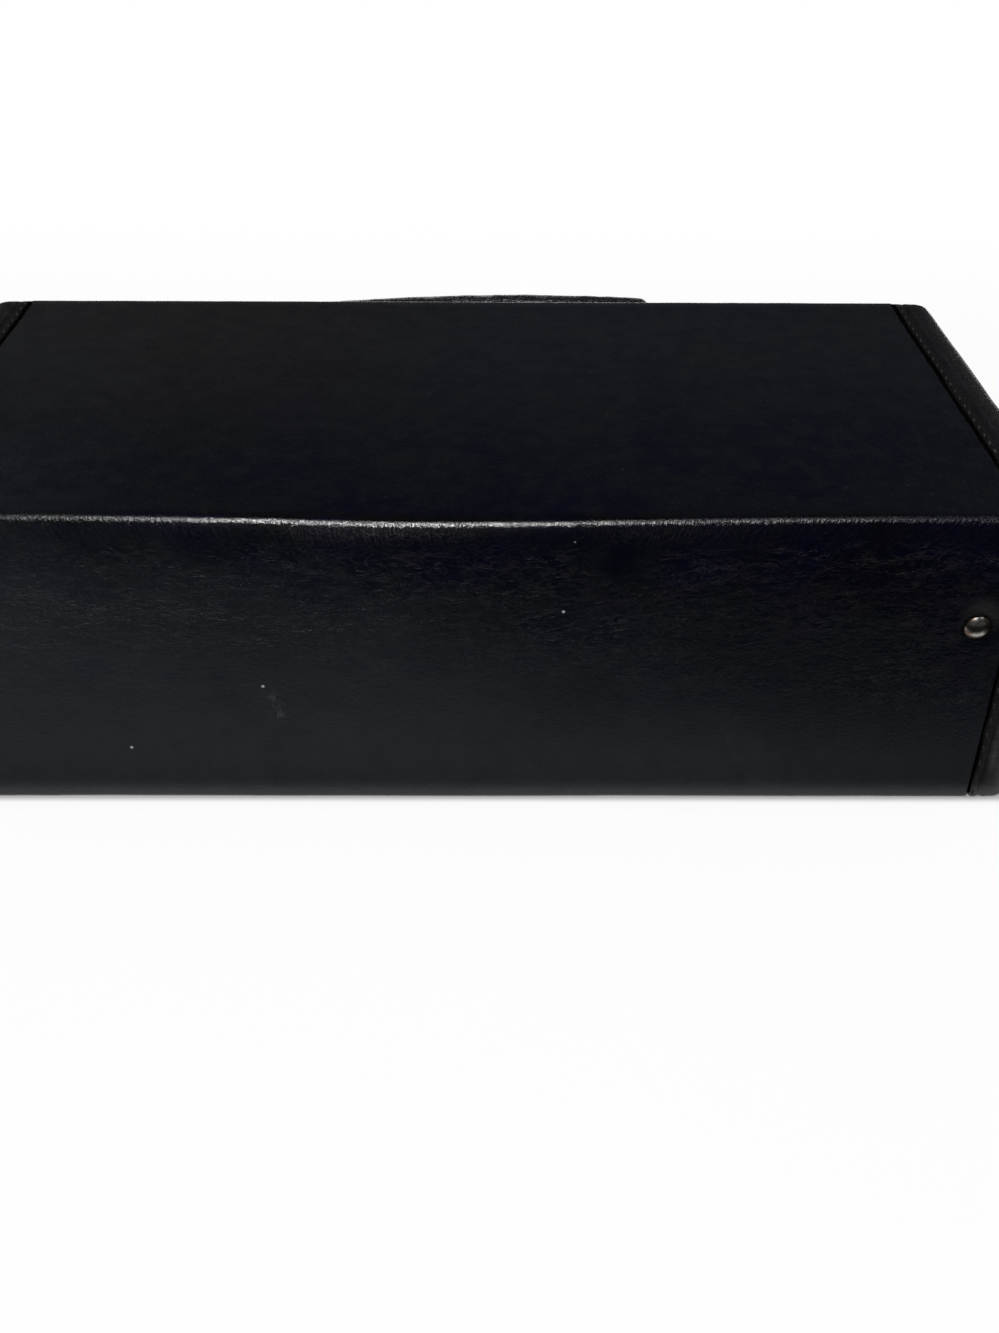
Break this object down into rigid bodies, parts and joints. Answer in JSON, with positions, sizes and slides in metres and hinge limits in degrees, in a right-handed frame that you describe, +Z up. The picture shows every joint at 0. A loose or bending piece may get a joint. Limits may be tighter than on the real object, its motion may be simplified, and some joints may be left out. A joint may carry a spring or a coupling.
{
  "type": "cassette tape case",
  "caption": "Hard attache-style case for boxed cassettes: leatherette over board, hinged lid, slotted rack, padded handle and two sliding hasp latches.",
  "frame": {"origin": "centre of the base's underside, on the surface that the case lies on", "axes": "+X along the case's length, +Y towards the wall with the handle and latches, +Z up, out of the lid"},
  "size_m": [0.368, 0.2228, 0.105],
  "materials": {
    "leatherette": "black vinyl leatherette, fine grain, soft sheen",
    "board": "dense greyboard",
    "lining": "black flocked paper",
    "tape": "black bookbinding cloth tape",
    "pad": "black brushed nylon over thin foam",
    "rack": "black moulded polystyrene",
    "nickel": "bright nickel plate, slightly worn",
    "steel": "plain spring steel"
  },
  "bodies": {
    "base": {"base_cover": "leatherette", "base_end_board_left": "board", "base_end_board_right": "board", "base_end_cover_left": "leatherette", "base_end_cover_right": "leatherette", "base_floor_board": "board", "base_handle_wall_board": "board", "base_hinge_wall_board": "board", "base_lining": "lining", "hinge_rivet_washers": "nickel", "hinge_rivets": "nickel", "hinge_strip": "leatherette", "hinge_tape": "tape", "latch_back_plate_left": "nickel", "latch_back_plate_right": "nickel", "latch_case_left": "nickel", "latch_case_right": "nickel", "latch_rivets": "nickel", "latch_spring_left": "steel", "latch_spring_right": "steel", "rack_centre_rail_1": "rack", "rack_centre_rail_2": "rack", "rack_dividers_1": "rack", "rack_dividers_2": "rack", "rack_dividers_3": "rack", "rack_floor": "rack", "rack_rail_handle_side": "rack", "rack_rail_hinge_side": "rack", "rack_riser": "board", "rack_side_rail_left": "rack", "rack_side_rail_right": "rack"},
    "lid": {"handle_bracket_left": "nickel", "handle_bracket_right": "nickel", "handle_bracket_rivets": "nickel", "hasp_pin_left": "nickel", "hasp_pin_right": "nickel", "hasp_plate_left": "nickel", "hasp_plate_right": "nickel", "hasp_rivets": "nickel", "lid_cover": "leatherette", "lid_end_board_left": "board", "lid_end_board_right": "board", "lid_end_cover_left": "leatherette", "lid_end_cover_right": "leatherette", "lid_handle_wall_board": "board", "lid_hinge_wall_board": "board", "lid_lining": "lining", "lid_pad": "pad", "lid_top_board": "board"},
    "handle": {"handle_core": "steel", "handle_grip": "leatherette", "handle_loop_left": "nickel", "handle_loop_right": "nickel"},
    "hasp_left": {"hasp_left": "nickel"},
    "hasp_right": {"hasp_right": "nickel"},
    "latch_slide_left": {"latch_slide_left": "nickel"},
    "latch_slide_right": {"latch_slide_right": "nickel"}
  },
  "joints": [
    {"name": "lid_hinge", "type": "hinge", "parent": "base", "child": "lid", "pos_m": [0, -0.0904, 0.0735], "axis": [1, 0, 0], "range_deg": [0, 165], "deforming": ["hinge_strip", "hinge_tape"]},
    {"name": "handle_swing", "type": "hinge", "parent": "lid", "child": "handle", "pos_m": [0, 0.0975, 0.08925], "axis": [1, 0, 0], "range_deg": [-85, 85]},
    {"name": "latch_slide_left_travel", "type": "slide", "parent": "base", "child": "latch_slide_left", "axis": [-1, 0, 0], "range_m": [0, 0.0035], "stiffness_N_per_m": 250, "springref_m": -0.002, "deforming": ["latch_spring_left"]},
    {"name": "latch_slide_right_travel", "type": "slide", "parent": "base", "child": "latch_slide_right", "axis": [1, 0, 0], "range_m": [0, 0.0035], "stiffness_N_per_m": 250, "springref_m": -0.002, "deforming": ["latch_spring_right"]},
    {"name": "hasp_left_hinge", "type": "hinge", "parent": "lid", "child": "hasp_left", "pos_m": [-0.118, 0.0939, 0.08], "axis": [1, 0, 0], "range_deg": [0, 135]},
    {"name": "hasp_right_hinge", "type": "hinge", "parent": "lid", "child": "hasp_right", "pos_m": [0.118, 0.0939, 0.08], "axis": [1, 0, 0], "range_deg": [0, 135]}
  ]
}
